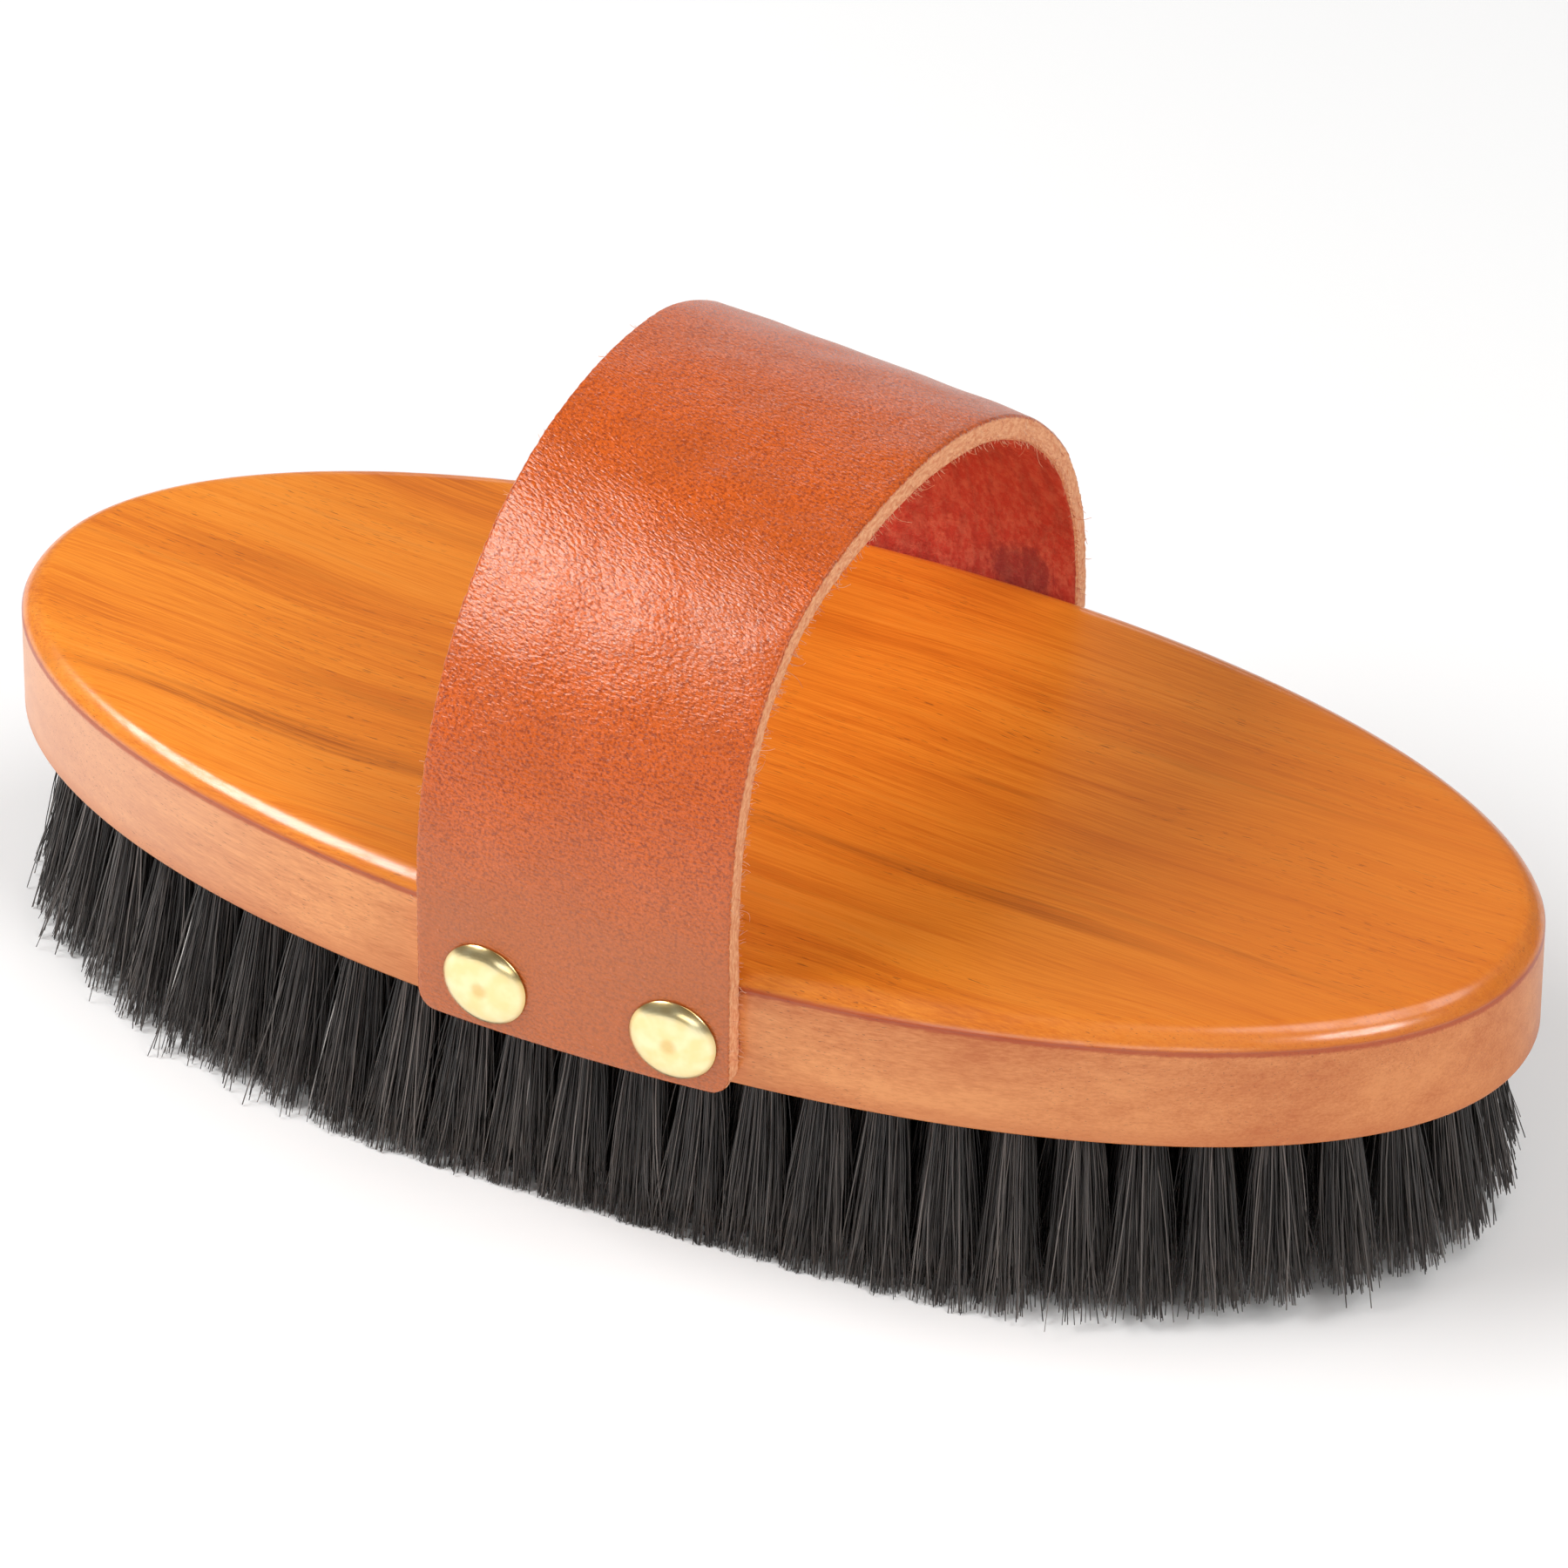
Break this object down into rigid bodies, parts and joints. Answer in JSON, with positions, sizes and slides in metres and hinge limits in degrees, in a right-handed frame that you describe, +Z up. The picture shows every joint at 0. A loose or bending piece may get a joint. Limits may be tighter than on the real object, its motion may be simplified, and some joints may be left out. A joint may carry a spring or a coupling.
{
  "type": "oval hand-strap body brush",
  "caption": "Oval wood-backed body brush with black hair tufts and an arched leather hand strap held by capped nails.",
  "frame": {"origin": "middle of the plane that the hair tips rest on, under the centre of the oval back", "axes": "+X along the brush to its right end as seen from the front, +Y across it to the rear, +Z up through the back to the strap"},
  "size_m": [0.21, 0.1044, 0.0993],
  "materials": {
    "back_wood": "orange-brown lacquer over fine straight grain",
    "strap_leather": "russet vegetable-tanned leather with raw cut edges",
    "cap_brass": "polished",
    "pin_steel": "bright drawn wire",
    "tuft_hair": "straight black hair, trimmed level",
    "anchor_steel": "flat drawn wire"
  },
  "bodies": {
    "root": {"brush_back": "back_wood", "hand_strap": "strap_leather", "nail_cap_front_left": "cap_brass", "nail_cap_front_right": "cap_brass", "nail_cap_rear_left": "cap_brass", "nail_cap_rear_right": "cap_brass", "nail_pin_front_left": "pin_steel", "nail_pin_front_right": "pin_steel", "nail_pin_rear_left": "pin_steel", "nail_pin_rear_right": "pin_steel", "outer_tufts_front": "tuft_hair", "outer_tufts_rear": "tuft_hair", "second_tufts_front": "tuft_hair", "second_tufts_rear": "tuft_hair", "third_tufts_front": "tuft_hair", "third_tufts_rear": "tuft_hair", "inner_tufts_front": "tuft_hair", "inner_tufts_rear": "tuft_hair", "centre_tufts": "tuft_hair", "outer_anchors_front": "anchor_steel", "outer_anchors_rear": "anchor_steel", "second_anchors_front": "anchor_steel", "second_anchors_rear": "anchor_steel", "third_anchors_front": "anchor_steel", "third_anchors_rear": "anchor_steel", "inner_anchors_front": "anchor_steel", "inner_anchors_rear": "anchor_steel", "centre_anchors": "anchor_steel"}
  },
  "joints": []
}
